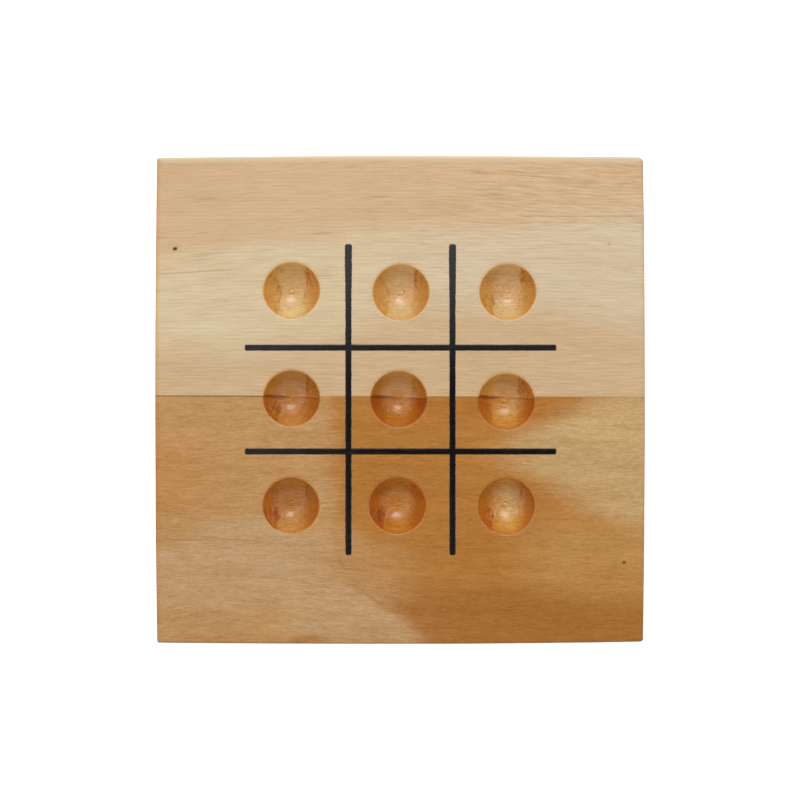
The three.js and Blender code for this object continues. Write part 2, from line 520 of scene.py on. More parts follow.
# ------------------------------------------------------------------ the printed grid
def build_ink():
    """A film over the four strokes, one closed mesh, feathered where it bled along the grain."""
    xs, ys = set(), set()
    hw = STROKE / 2

    def ticks(lo, hi, step):
        k = max(1, round((hi - lo) / step))
        return [round(lo + (hi - lo) * i / k, 5) for i in range(k + 1)]

    cuts_x = sorted(
        {LV_ENDS[0], LV_ENDS[1], *(c + d for c in UPRIGHTS for d in (-hw, hw))}
    )
    cuts_y = sorted({UP_ENDS[0], UP_ENDS[1], *(c + d for c in LEVELS for d in (-hw, hw))})
    for a, b in zip(cuts_x, cuts_x[1:]):
        xs.update(ticks(a, b, 0.235 if b - a < 3 else 0.42))
    for a, b in zip(cuts_y, cuts_y[1:]):
        ys.update(ticks(a, b, 0.235 if b - a < 3 else 0.26))
    xs, ys = sorted(xs), sorted(ys)

    def inside(x, y):
        up = any(abs(x - c) < hw for c in UPRIGHTS) and UP_ENDS[0] < y < UP_ENDS[1]
        lv = any(abs(y - c) < hw for c in LEVELS) and LV_ENDS[0] < x < LV_ENDS[1]
        return up or lv

    nx, ny = len(xs), len(ys)
    cell = np.zeros((nx - 1, ny - 1), bool)
    for i in range(nx - 1):
        for j in range(ny - 1):
            cell[i, j] = inside((xs[i] + xs[i + 1]) / 2, (ys[j] + ys[j + 1]) / 2)
    bm = bmesh.new()
    top, low = {}, {}

    def place(i, j):
        if (i, j) in top:
            return
        x, y = xs[i], ys[j]
        up = [c for c in UPRIGHTS if abs(x - c) < hw + 1e-6]
        lv = [c for c in LEVELS if abs(y - c) < hw + 1e-6]
        px, py = x, y
        edge = 0.0
        if up and not lv:
            c = up[0]
            t = (x - c) / hw
            w = hw + (STROKE_TOP / 2 - hw) * float(sstep(26.0, 45.5, y))
            px = c + t * w
            side = abs(t) ** 6
            feather = (
                fbm(3.1 + c, y / 0.42, 0.5 + (t > 0), 41, 2) - 0.5
            ) * 0.20 + (fbm(c, y / 2.3, 1.5 + (t > 0), 43, 2) - 0.5) * 0.14
            px += math.copysign(1, t) * side * float(feather) if t else 0.0
            edge = abs(t)
            for end, sgn in ((UP_ENDS[0], -1), (UP_ENDS[1], 1)):
                gap = abs(y - end)
                if gap < 0.9:
                    k = 1 - gap / 0.9
                    py -= sgn * 0.32 * k * abs(t) ** 4
                    px -= (px - c) * 0.10 * k * k
                    edge = max(edge, k)
        elif lv and not up:
            c = lv[0]
            t = (y - c) / hw
            side = abs(t) ** 6
            feather = (fbm(x / 1.9, 2.2 + c, 0.5 + (t > 0), 47, 3) - 0.5) * 0.11
            py = c + t * hw + (
                math.copysign(1, t) * side * float(feather) if t else 0.0
            )
            edge = abs(t)
            for end, sgn in ((LV_ENDS[0], -1), (LV_ENDS[1], 1)):
                gap = abs(x - end)
                if gap < 0.9:
                    k = 1 - gap / 0.9
                    px -= sgn * 0.30 * k * abs(t) ** 4
                    px += sgn * 0.14 * k * (float(fbm(y / 0.35, c, sgn, 53, 2)) - 0.5)
                    edge = max(edge, k)
        # the film thins towards its edges and lies over the grain's ridges
        grain = float(fbm(x / 7.0, y / 0.55, 0.3, 59, 2)) - 0.5
        h = INK_TOP - 0.05 * sstep(0.78, 1.0, edge) + 0.012 * grain
        top[(i, j)] = bm.verts.new((px, py, float(h)))
        low[(i, j)] = bm.verts.new((px, py, T))

    for i in range(nx - 1):
        for j in range(ny - 1):
            if not cell[i, j]:
                continue
            ks = [(i, j), (i + 1, j), (i + 1, j + 1), (i, j + 1)]
            for k in ks:
                place(*k)
            bm.faces.new([top[k] for k in ks]).smooth = True
            bm.faces.new([low[k] for k in ks][::-1]).smooth = False
            for (a, b), (di, dj) in (
                ((0, 1), (0, -1)),
                ((1, 2), (1, 0)),
                ((2, 3), (0, 1)),
                ((3, 0), (-1, 0)),
            ):
                ii, jj = i + di, j + dj
                out = (
                    not (0 <= ii < nx - 1 and 0 <= jj < ny - 1) or not cell[ii, jj]
                )
                if out:
                    ka, kb = ks[a], ks[b]
                    f = bm.faces.new([top[kb], top[ka], low[ka], low[kb]])
                    f.smooth = True
    bm.normal_update()
    return bm


# ------------------------------------------------------------------ node helper
class Val:
    """A socket that can be written in sums."""

    def __init__(self, g, socket):
        self.g, self.s = g, socket

    def __add__(self, o):
        return self.g.math("ADD", self, o)

    __radd__ = __add__

    def __sub__(self, o):
        return self.g.math("SUBTRACT", self, o)

    def __rsub__(self, o):
        return self.g.math("SUBTRACT", o, self)

    def __mul__(self, o):
        return self.g.math("MULTIPLY", self, o)

    __rmul__ = __mul__

    def __truediv__(self, o):
        return self.g.math("DIVIDE", self, o)


class Graph:
    def __init__(self, name):
        self.mat = bpy.data.materials.new(name)
        self.mat.use_nodes = True
        self.nt = self.mat.node_tree
        self.nt.nodes.clear()
        self.out = self.nt.nodes.new("ShaderNodeOutputMaterial")
        self.bsdf = self.nt.nodes.new("ShaderNodeBsdfPrincipled")
        self.nt.links.new(self.bsdf.outputs[0], self.out.inputs[0])

    def put(self, socket, value):
        if isinstance(value, Val):
            self.nt.links.new(value.s, socket)
        elif hasattr(socket.default_value, "__len__"):
            n = len(socket.default_value)
            v = list(value) + [1.0] * (n - len(value)) if hasattr(value, "__len__") else [value] * n
            socket.default_value = v[:n]
        else:
            socket.default_value = float(value)

    def math(self, op, a, b=None, c=None, clamp=False):
        n = self.nt.nodes.new("ShaderNodeMath")
        n.operation = op
        n.use_clamp = clamp
        for i, x in enumerate((a, b, c)):
            if x is not None:
                self.put(n.inputs[i], x)
        return Val(self, n.outputs[0])

    def coords(self):
        """Object coordinates in millimetres."""
        tc = self.nt.nodes.new("ShaderNodeTexCoord")
        m = self.nt.nodes.new("ShaderNodeVectorMath")
        m.operation = "SCALE"
        self.nt.links.new(tc.outputs["Object"], m.inputs[0])
        m.inputs["Scale"].default_value = 1000.0
        s = self.nt.nodes.new("ShaderNodeSeparateXYZ")
        self.nt.links.new(m.outputs[0], s.inputs[0])
        self.normal = self.nt.nodes.new("ShaderNodeSeparateXYZ")
        self.nt.links.new(tc.outputs["Normal"], self.normal.inputs[0])
        return [Val(self, s.outputs[i]) for i in range(3)]

    def vec(self, x, y, z):
        n = self.nt.nodes.new("ShaderNodeCombineXYZ")
        for i, v in enumerate((x, y, z)):
            self.put(n.inputs[i], v)
        return Val(self, n.outputs[0])

    def noise(self, vec, detail=2.0, rough=0.5, dist=0.0, scale=1.0, color=False):
        n = self.nt.nodes.new("ShaderNodeTexNoise")
        n.noise_dimensions = "3D"
        self.put(n.inputs["Vector"], vec)
        n.inputs["Scale"].default_value = scale
        n.inputs["Detail"].default_value = detail
        n.inputs["Roughness"].default_value = rough
        n.inputs["Distortion"].default_value = dist
        return Val(self, n.outputs["Color" if color else "Fac"])

    def voronoi(self, vec, randomness=1.0):
        n = self.nt.nodes.new("ShaderNodeTexVoronoi")
        n.voronoi_dimensions = "3D"
        n.feature = "F1"
        self.put(n.inputs["Vector"], vec)
        n.inputs["Scale"].default_value = 1.0
        n.inputs["Randomness"].default_value = randomness
        sep = self.nt.nodes.new("ShaderNodeSeparateColor")
        self.nt.links.new(n.outputs["Color"], sep.inputs[0])
        return Val(self, n.outputs["Distance"]), Val(self, sep.outputs[0]), Val(self, sep.outputs[1])

    def step(self, lo, hi, x, smooth=True, to=(0.0, 1.0)):
        n = self.nt.nodes.new("ShaderNodeMapRange")
        n.interpolation_type = "SMOOTHSTEP" if smooth else "LINEAR"
        n.clamp = True
        self.put(n.inputs["Value"], x)
        self.put(n.inputs["From Min"], lo)
        self.put(n.inputs["From Max"], hi)
        self.put(n.inputs["To Min"], to[0])
        self.put(n.inputs["To Max"], to[1])
        return Val(self, n.outputs["Result"])

    def curve(self, x, points, lo=-76.0, hi=76.0):
        """A smooth function of x through (x, value) points."""
        vals = [v for _, v in points]
        vmin, vmax = min(vals), max(vals)
        span = (vmax - vmin) or 1.0
        n = self.nt.nodes.new("ShaderNodeValToRGB")
        ramp = n.color_ramp
        ramp.interpolation = "EASE"
        pts = sorted(points)
        while len(ramp.elements) > 1:
            ramp.elements.remove(ramp.elements[-1])
        for k, (px, v) in enumerate(pts):
            pos = min(max((px - lo) / (hi - lo), 0.0), 1.0)
            el = ramp.elements[0] if k == 0 else ramp.elements.new(pos)
            el.position = pos
            g = (v - vmin) / span
            el.color = (g, g, g, 1.0)
        self.put(n.inputs[0], self.math("DIVIDE", x - lo, hi - lo))
        sep = self.nt.nodes.new("ShaderNodeSeparateColor")
        self.nt.links.new(n.outputs[0], sep.inputs[0])
        return Val(self, sep.outputs[0]) * span + vmin

    def mix(self, fac, a, b, mode="MIX"):
        n = self.nt.nodes.new("ShaderNodeMix")
        n.data_type = "RGBA"
        n.blend_type = mode
        n.clamp_factor = True
        self.put(n.inputs[0], fac)
        self.put(n.inputs[6], a)
        self.put(n.inputs[7], b)
        return Val(self, n.outputs[2])

    def attr(self, name):
        n = self.nt.nodes.new("ShaderNodeAttribute")
        n.attribute_type = "GEOMETRY"
        n.attribute_name = name
        return Val(self, n.outputs["Fac"])

    def bump(self, height, distance, strength=1.0, normal=None):
        n = self.nt.nodes.new("ShaderNodeBump")
        n.inputs["Strength"].default_value = strength
        n.inputs["Distance"].default_value = distance
        self.put(n.inputs["Height"], height)
        if normal is not None:
            self.nt.links.new(normal.s, n.inputs["Normal"])
        return Val(self, n.outputs[0])


def lin(r, g, b, gain=1.0):
    """An sRGB colour, 0 to 255, as linear light."""
    out = []
    for c in (r, g, b):
        c /= 255.0
        out.append(gain * (c / 12.92 if c <= 0.04045 else ((c + 0.055) / 1.055) ** 2.4))
    return out


def fx(px):
    return (px - 400.0) * 0.311


def fy(py):
    return (400.0 - py) * 0.311


WOOD_GAIN = 0.90


def wood_graph(name, glue=False):
    """Lacquered pine. One recipe covers the whole board, so the grain, the seam and the cutter's
    smear across it agree on every piece; which plank a point belongs to follows from its place."""
    g = Graph(name)
    x, y, z = g.coords()
    nxs = Val(g, g.normal.outputs[0])
    nys = Val(g, g.normal.outputs[1])
    nzs = Val(g, g.normal.outputs[2])
    bowl = g.attr("bowl")
    tear = g.attr("tear")
    across = g.attr("across")
    chip = g.attr("chip")
    halo = g.attr("halo")

    # --- which plank: the cutter dragged fibres over the seam, up on the left and down on the right
    near_mid = g.step(9.5, 8.5, g.math("ABSOLUTE", y))
    drag = g.step(-1.0, 1.0, across, smooth=False, to=(0.42, -0.85)) * bowl * near_mid
    jag = (g.noise(g.vec(x * 0.9, 0.0, z * 0.9), 3, 0.6) - 0.5) * (bowl * 0.5 + 0.04)
    seam = x * SEAM_SLOPE + SEAM_Y0 + drag + jag
    off = y - seam  # how far above the seam
    pale = g.step(-0.10, 0.10, off, smooth=False)

    # --- growth: slow bends in the grain
    bend = (g.noise(g.vec(x * 0.016, y * 0.03, z * 0.03), 2, 0.5) - 0.5) * 4.0
    wig = (g.noise(g.vec(x * 0.05, y * 0.16 + 7.0, z * 0.16), 2, 0.4) - 0.5) * 0.7
    arch = x * x * 0.00065 * g.step(6.0, 34.0, y)
    v = y + bend + wig + arch
    # bottom left corner of the amber plank: the grain climbs to the right
    swirl = g.step(fx(300), fx(170), x) * g.step(fy(575), fy(630), y)
    v = v - swirl * (x + 58.0) * 0.20
    # lower left it runs down to the right a little
    v = v + x * 0.07 * g.step(fy(505), fy(585), y) * g.step(fx(560), fx(380), x)

    # --- streaks along the grain, from hair-fine to broad
    s_hair = g.noise(g.vec(x * (0.42 - pale * 0.27), v * 2.7, z * 2.7), 2, 0.6) - 0.5
    s_fine = g.noise(g.vec(x * (0.22 - pale * 0.10), v * 1.55 + 5.0, z * 1.55), 3, 0.6) - 0.5
    fleck = g.noise(g.vec(x * 1.15, v * 2.9 + 9.0, z * 2.9), 1, 0.6) - 0.5
    s_mid = g.noise(g.vec(x * 0.085, v * 0.52, z * 0.52), 3, 0.55) - 0.5
    s_slow = g.noise(g.vec(x * 0.022, v * 0.16, z * 0.16 + 4.0), 2, 0.5) - 0.5

    # --- growth rings: close and upright in the pale plank, wide and flat in the amber one
    def ring(cy, cz, pitch, wob):
        dy, dz = y + wig * 0.6 + bend * 0.5 - cy, z - cz
        d = g.math("SQRT", dy * dy + dz * dz) + wob
        t = g.math("FRACT", d / pitch)
        # early wood darkens slowly into late wood, then starts again
        return g.step(0.35, 0.92, t) * g.step(1.0, 0.94, t)

    r_pale = ring(-78.0, 2.0, 1.12, (g.noise(g.vec(x * 0.03, y * 0.02, 0.0), 2) - 0.5) * 2.0)
    r_amber = ring(-30.0, -64.0, 2.6, x * 0.018 + (g.noise(g.vec(x * 0.02, y * 0.03, 3.0), 2) - 0.5) * 5.0)

    # --- resin canals: short dark dashes along the grain, a few long, many faint
    d1, ra, _ = g.voronoi(g.vec(x * 0.13, v * 1.45, z * 1.45))
    canal = g.step(0.44, 0.12, d1) * g.step(0.86, 0.98, ra)
    d2, rc, _ = g.voronoi(g.vec(x * 0.055 + 3.3, v * 0.85, z * 0.85))
    canal2 = g.step(0.34, 0.06, d2) * g.step(0.92, 0.98, rc)
    d3, re, _ = g.voronoi(g.vec(x * 0.33 + 1.7, v * 1.9, z * 1.9))
    pores = g.step(0.46, 0.15, d3) * g.step(0.72, 0.98, re) * (1.3 - pale)
    dashes = g.math("MAXIMUM", canal * 0.8, canal2)
    dashes = g.math("MAXIMUM", dashes, pores * 0.52)

    # ================= pale plank =================
    n1 = (g.noise(g.vec(x * 0.02, v * 0.05, 11.0), 2) - 0.5) * 9.0
    n2 = (g.noise(g.vec(x * 0.02, v * 0.30, 17.0), 4, 0.65) - 0.5) * 15.0
    f1 = g.curve(
        x,
        [
            (fx(157), fy(258)),
            (fx(215), fy(252)),
            (fx(260), fy(239)),
            (fx(330), fy(234)),
            (fx(420), fy(231)),
            (fx(500), fy(227)),
            (fx(570), fy(216)),
            (fx(643), fy(211)),
        ],
    )
    f2 = g.curve(
        x,
        [
            (fx(157), fy(350)),
            (fx(225), fy(355)),
            (fx(310), fy(338)),
            (fx(425), fy(304)),
            (fx(545), fy(310)),
            (fx(643), fy(330)),
        ],
    )
    top_tan = g.step(-8.0, 7.5, y - f1 + n2)
    low_tan = g.step(9.0, -9.0, y - f2 + n1)
    cream = lin(214, 194, 159, WOOD_GAIN)
    cream_r = lin(211, 191, 161, WOOD_GAIN)
    tan_top = lin(208, 176, 137, WOOD_GAIN)
    tan_low = lin(205, 176, 137, WOOD_GAIN)
    col_p = g.mix(g.step(-30.0, 40.0, x), cream, cream_r)
    col_p = g.mix(low_tan, col_p, tan_low)
    col_p = g.mix(top_tan, col_p, tan_top)
    corner = g.step(fx(235), fx(165), x) * g.step(fy(192), fy(166), y)
    col_p = g.mix(corner * 0.7, col_p, lin(203, 171, 131, WOOD_GAIN))
    blush = g.step(0.10, 0.28, g.noise(g.vec(x * 0.03, v * 0.11, 23.0), 2) - 0.5)
    col_p = g.mix(blush * 0.35, col_p, lin(211, 174, 141, WOOD_GAIN))

    # ================= amber plank =================
    n3 = (g.noise(g.vec(x * 0.035, v * 0.12, 31.0), 2, 0.5) - 0.5) * 8.0
    n3 = n3 + (g.noise(g.vec(x * 0.05, v * 0.95, 33.0), 2, 0.55) - 0.5) * g.step(
        -62.0, -35.0, y, to=(5.0, 15.0)
    )
    n4 = (g.noise(g.vec(x * 0.03, v * 0.45, 37.0), 4, 0.65) - 0.5) * 13.0
    xl = g.curve(
        y,
        [
            (fy(645), fx(420)),
            (fy(637), fx(412)),
            (fy(625), fx(404)),
            (fy(610), fx(393)),
            (fy(595), fx(395)),
            (fy(580), fx(403)),
            (fy(565), fx(410)),
            (fy(550), fx(390)),
            (fy(535), fx(358)),
            (fy(510), fx(335)),
            (fy(466), fx(338)),
            (fy(396), fx(330)),
        ],
        lo=fy(650),
        hi=fy(390),
    )
    xr = g.curve(
        y,
        [
            (fy(560), fx(720)),
            (fy(532), fx(648)),
            (fy(510), fx(584)),
            (fy(488), fx(556)),
            (fy(462), fx(504)),
            (fy(440), fx(508)),
            (fy(424), fx(540)),
            (fy(411), fx(570)),
            (fy(396), fx(592)),
        ],
        lo=fy(650),
        hi=fy(390),
    )
    soft = g.curve(
        y,
        [
            (fy(645), 3.0),
            (fy(625), 3.6),
            (fy(610), 5.5),
            (fy(595), 11.0),
            (fy(575), 13.0),
            (fy(555), 10.0),
            (fy(535), 5.0),
            (fy(510), 6.0),
            (fy(396), 7.0),
        ],
        lo=fy(650),
        hi=fy(390),
    )
    # the amber comes on in two stages: a honey tint behind the wedge's slanting edge, then in full
    xd = g.curve(
        y,
        [
            (fy(645), fx(432)),
            (fy(623), fx(409)),
            (fy(604), fx(378)),
            (fy(584), fx(342)),
            (fy(562), fx(330)),
            (fy(535), fx(333)),
            (fy(510), fx(335)),
            (fy(396), fx(332)),
        ],
        lo=fy(650),
        hi=fy(390),
    )
    slant = (T - z) * 0.5
    left_in = g.step(0.0 - soft, soft, x - xl + n3 + slant) * 0.64 + g.step(
        -2.6, 2.6, x - xd + n3 * 0.6 + slant
    ) * 0.36
    # under the face the pale wood of the wedge reaches further in
    deeper = g.step(T - 0.4, T - 7.4, z, smooth=False, to=(0.0, 30.0))
    right_in = g.step(-13.0, 12.0, xr - deeper - x + n4)
    amber = left_in * right_in
    base = lin(189, 144, 90, WOOD_GAIN)
    wedge = lin(194, 159, 109, WOOD_GAIN)
    light = lin(191, 154, 111, WOOD_GAIN)
    olive = lin(184, 143, 93, WOOD_GAIN)
    core = lin(177, 118, 50, WOOD_GAIN)
    honey = lin(184, 136, 75, WOOD_GAIN)
    dark = lin(165, 108, 48, WOOD_GAIN)
    col_a = g.mix(g.step(fx(470), fx(560), x), base, wedge)
    early = g.step(fx(190), fx(215), x) * g.step(fx(310), fx(265), x)
    shift = g.step(fx(200), fx(170), x) * 3.0 - early * 5.0
    band = g.step(fy(518), fy(548), y + n1 * 0.6 + shift) * g.step(fy(620), fy(603), y + n1 * 0.6)
    patch = g.step(0.02, 0.22, g.noise(g.vec(x * 0.03, v * 0.07, 41.0), 2) - 0.5)
    left_side = g.step(fx(395), fx(290), x)
    tail = g.step(fx(262), fx(305), x + n4) * g.step(fy(580), fy(598), y)
    col_a = g.mix(left_side * g.math("MAXIMUM", band * 0.95, patch * 0.55), col_a, light)
    tail_col = g.mix(
        g.step(fy(610), fy(642), y), lin(195, 159, 115, WOOD_GAIN), lin(184, 146, 103, WOOD_GAIN)
    )
    col_a = g.mix(tail * 0.85, col_a, tail_col)
    col_a = g.mix(
        g.step(fy(599), fy(617), y + n1 * 0.5) * g.step(fx(270), fx(222), x + n4) * 0.85,
        col_a,
        olive,
    )
    px, py = (x - fx(308)) * 0.12, (y - fy(641)) * 0.36
    brown = g.step(1.0, 0.35, g.math("SQRT", px * px + py * py) + n3 * 0.04)
    col_a = g.mix(brown * 0.85, col_a, lin(174, 125, 69, WOOD_GAIN))
    redder = g.step(fx(250), fx(170), x) * g.step(fy(432), fy(450), y) * g.step(fy(520), fy(498), y)
    col_a = g.mix(redder, col_a, lin(189, 138, 82, WOOD_GAIN))
    warm = g.mix(g.step(fx(480), fx(570), x) * g.step(fy(505), fy(535), y), core, honey)
    warm = g.mix(
        g.step(fy(570), fy(603), y + n4 * 0.45 + g.step(fx(480), fx(600), x) * 3.2),
        warm,
        dark,
    )
    side_warm = g.step(fy(525), fy(560), y) * g.step(fx(470), fx(380), x)
    warm = g.mix(side_warm * 0.35, warm, lin(180, 130, 76, WOOD_GAIN))
    col_a = g.mix(amber, col_a, warm)
    # two paler gleams in it: one under the right-hand hollow, one along the bond at the far right
    px, py = (x - fx(498)) * 0.070, (y - fy(446)) * 0.36
    gleam = g.step(1.0, 0.30, g.math("SQRT", px * px + py * py) + n3 * 0.03)
    col_a = g.mix(gleam, col_a, g.mix(1.0, col_a, (1.13, 1.21, 1.36), "MULTIPLY"))
    gleam2 = g.step(fx(548), fx(600), x) * g.step(fy(402), fy(412), y) * g.step(
        fy(452), fy(436), y
    )
    col_a = g.mix(gleam2, col_a, g.mix(1.0, col_a, (1.07, 1.10, 1.10), "MULTIPLY"))
    # and a richer strip along the bond between the middle and right-hand hollows
    rich = g.step(fx(412), fx(440), x) * g.step(fx(575), fx(525), x + n4) * g.step(
        fy(430), fy(414), y
    )
    col_a = g.mix(rich, col_a, g.mix(1.0, col_a, (0.985, 0.93, 0.76), "MULTIPLY"))

    col = g.mix(pale, col_a, col_p)

    # --- the streaks, in light and dark
    lively = g.step(10.0, 40.0, x) * g.step(46.0, 60.0, y) * 0.8 + 1.0
    lively = lively - g.step(5.0, -25.0, x) * g.step(42.0, 50.0, y) * 0.25
    tone = (
        s_hair * (0.62 - pale * 0.18) * lively
        + s_fine * (0.46 - pale * 0.22) * lively
        + fleck * (0.42 - pale * 0.26)
        + s_mid * (0.27 - pale * 0.19)
    )
    drift = s_slow * (0.34 - pale * 0.17)
    ring_t = g.math("MULTIPLY", r_pale, pale) * 0.055 + g.math(
        "MULTIPLY", r_amber, 1.0 - pale
    ) * 0.040
    tone = tone - ring_t + 0.008
    nx_abs = g.math("ABSOLUTE", nxs)
    endg = g.step(0.35, 0.95, nx_abs)
    # end faces show the rings much more strongly
    end_face = endg * (1.0 - bowl)
    ring_end = g.math("MULTIPLY", r_pale, pale) * 0.16 + g.math("MULTIPLY", r_amber, 1.0 - pale) * 0.26
    tone = tone - ring_end * end_face
    bright = g.vec(
        tone * (pale * 0.12 + 0.78) + drift * 0.60 + 1.0,
        tone + drift + 1.0,
        tone * (1.55 - pale * 0.34) + drift * 1.8 + 1.0,
    )
    col = g.mix(1.0, col, bright, "MULTIPLY")
    col = g.mix(dashes * 0.42, col, g.mix(1.0, col, (0.56, 0.44, 0.36), "MULTIPLY"))

    # --- pin knots
    surface = g.step(T - 3.0, T - 0.3, z)
    for kx, ky, kr, dk, hue in (
        (fx(175.0), fy(248.9), 0.80, 1.0, (62, 44, 20)),
        (fx(609.0), fy(244.5), 0.36, 0.5, (120, 84, 50)),
        (fx(624.0), fy(562.6), 0.66, 0.95, (96, 52, 18)),
        (fx(477.5), fy(573.0), 0.45, 0.4, (120, 66, 24)),
        (fx(394.0), fy(577.0), 0.40, 0.3, (140, 84, 40)),
    ):
        dx, dy = (x - kx) * 0.72, y - ky + (x - kx) * -0.18
        dd = g.math("SQRT", dx * dx + dy * dy)
        glow = g.step(kr * 3.2, kr * 0.9, dd) * dk * surface
        col = g.mix(glow * 0.25, col, lin(196, 152, 98, WOOD_GAIN))
        ko = g.step(kr, kr * 0.3, dd) * dk * surface
        col = g.mix(ko, col, lin(*hue))

    # --- a few long lines of late wood that stand out
    for ax, ay, bx, by, w, k in (
        (157, 274.5, 252, 268.2, 0.20, 0.80),
        (150, 238.7, 178, 238.5, 0.17, 0.60),
        (186, 254.8, 236, 252.2, 0.19, 0.62),
        (216, 220.8, 248, 219.8, 0.19, 0.55),
        (478, 260.0, 566, 257.6, 0.18, 0.55),
        (522, 216.8, 645, 216.2, 0.18, 0.70),
        (470, 172.0, 556, 178.0, 0.17, 0.55),
        (476, 190.4, 506, 189.0, 0.17, 0.50),
        (150, 539.6, 215, 540.6, 0.24, 0.60),
        (196, 536.2, 300, 545.0, 0.22, 0.42),
        (358, 588.0, 386, 609.0, 0.36, 0.38),
    ):
        ax, ay, bx, by = fx(ax), fy(ay), fx(bx), fy(by)
        sl = (by - ay) / (bx - ax)
        dist = g.math("ABSOLUTE", y + wig * 0.25 - (x * sl + (ay - sl * ax)))
        run = g.step(ax - 1.5, ax + 3.0, x) * g.step(bx + 1.5, bx - 6.0, x)
        line = g.step(w * 1.6, 0.0, dist) * run * g.step(T - 2.5, T - 0.4, z)
        col = g.mix(line * k, col, g.mix(1.0, col, (0.78, 0.62, 0.46), "MULTIPLY"))

    # --- end grain drinks the lacquer: darker and more orange
    end_in = g.step(0.12, 0.80, nx_abs)
    col = g.mix(
        endg * (1.0 - bowl) * 0.95,
        col,
        g.mix(1.0, col, (0.72, 0.52, 0.32), "MULTIPLY"),
    )
    arris = g.step(0.20, 0.85, g.math("ABSOLUTE", nys)) * (1.0 - bowl)
    col = g.mix(arris * 0.9, col, g.mix(1.0, col, (0.70, 0.55, 0.38), "MULTIPLY"))
    # the face is rubbed thin beside its edges: a warm line, then a darker arris, which is painted shade
    # where the eased edge turns away from the lamps; along the top edge a pale band instead of the warm
    # line, a painted highlight where the rounded edge catches the key lamp
    from_x = 76.25 - y * y * 0.000102 - g.math("ABSOLUTE", x)
    from_y = 76.0 - x * x * 0.0000985 - g.math("ABSOLUTE", y)
    inland = g.math("MINIMUM", from_x, from_y)
    on_face = g.step(T - 2.0, T - 1.0, z)
    at_left = g.step(10.0, -10.0, x) * g.step(0.5, -0.5, from_x - from_y)
    at_top = g.step(60.0, 66.0, y) * g.step(-0.5, 0.5, from_x - from_y)
    line = g.step(1.5, 0.8, inland)
    line = line * (at_left * 0.62 + 0.28) * (1.0 - at_top) * on_face
    col = g.mix(line, col, g.mix(1.0, col, (1.03, 0.84, 0.62), "MULTIPLY"))
    # painted shade: the eased edge darkened as it turns away from the lamps
    outer = g.step(0.55, 0.25, inland) * on_face
    col = g.mix(outer, col, g.mix(1.0, col, (0.80, 0.80, 0.84), "MULTIPLY"))
    # painted highlight: a pale band along the top edge, where the rounded arris catches the key lamp
    col = g.mix(
        at_top * g.step(2.3, 1.2, inland) * on_face * 0.8, col, lin(216, 194, 162, WOOD_GAIN)
    )
    # the cut surface of a hollow is warmer than the sanded face, most of all on its end grain
    cutface = g.step(0.05, 0.80, bowl)
    # and stains the flat wood just outside its rim
    stain = g.step(0.55, 1.0, halo) * g.step(0.50, 0.15, bowl) * g.step(0.28, 0.06, nys)
    stain_tint = g.mix(pale, (0.965, 0.93, 0.80), (0.99, 0.94, 0.83))
    col = g.mix(stain, col, g.mix(1.0, col, stain_tint, "MULTIPLY"))
    warm_cut = g.mix(pale, (1.12, 0.97, 0.62), (1.09, 0.89, 0.54))
    col = g.mix(cutface, col, g.mix(1.0, col, warm_cut, "MULTIPLY"))
    col = g.mix(
        cutface * end_in, col, g.mix(1.0, col, (0.90, 0.74, 0.46), "MULTIPLY")
    )
    # the glaze on the steep wall just under the rim is the warmest
    steep = g.step(0.56, 0.36, nzs) * cutface
    col = g.mix(steep, col, g.mix(1.0, col, (1.04, 0.97, 0.76), "MULTIPLY"))
    # the lower holes go into redder wood at the left and paler wood at the right
    low_rows = g.step(14.0, 10.0, y) * cutface
    last_row = g.step(-18.0, -22.0, y)
    vein = g.mix(
        g.step(-34.0, 34.0, x, smooth=False),
        g.mix(last_row, (0.95, 0.92, 0.84), (0.93, 0.84, 0.72)),
        g.mix(last_row, (1.07, 1.13, 1.18), (1.15, 1.30, 1.58)),
    )
    col = g.mix(low_rows, col, g.mix(1.0, col, vein, "MULTIPLY"))
    # lighter where it rolls over: partly rubbed-through lacquer, partly painted light lifting the shade on
    # the rim
    rim_rub_and_light = g.step(0.02, 0.40, bowl) * g.step(1.0, 0.60, bowl)
    worn = g.mix(pale, (1.22, 1.13, 0.90), (1.25, 1.20, 1.07))
    col = g.mix(rim_rub_and_light, col, g.mix(1.0, col, worn, "MULTIPLY"))
    # darker towards the rim and paler and greyer at the bottom: painted highlight, the lamp's gloss in
    # each hollow's floor put into the colour; the left-hand hollows get a darker, warmer tint there
    # instead
    floor_in = g.step(T - 4.4, T - 7.2, z) * cutface
    left_col = g.step(-14.0, -22.0, x)
    floor_sheen_tint = g.mix(left_col, (1.08, 1.16, 1.28), (0.98, 0.94, 0.84))
    floor_sheen_tint = g.mix(pale, floor_sheen_tint, g.mix(left_col, (1.01, 0.98, 1.00), (0.97, 0.92, 0.92)))
    col = g.mix(floor_in, col, g.mix(1.0, col, floor_sheen_tint, "MULTIPLY"))
    # painted light: walls facing the key lamp made paler and creamier
    sunny = g.step(0.05, 0.65, nys) * cutface
    lit_wall_tint = g.mix(pale, (1.0, 1.06, 1.10), (1.0, 1.16, 1.40))
    col = g.mix(sunny, col, g.mix(1.0, col, lit_wall_tint, "MULTIPLY"))
    # painted shade: dims the lamp's gloss on the lower floor of the left-hand hollow beside the bond
    col = g.mix(
        floor_in * near_mid * left_col * g.step(-0.05, 0.25, nys),
        col,
        g.mix(1.0, col, (0.95, 0.90, 0.78), "MULTIPLY"),
    )
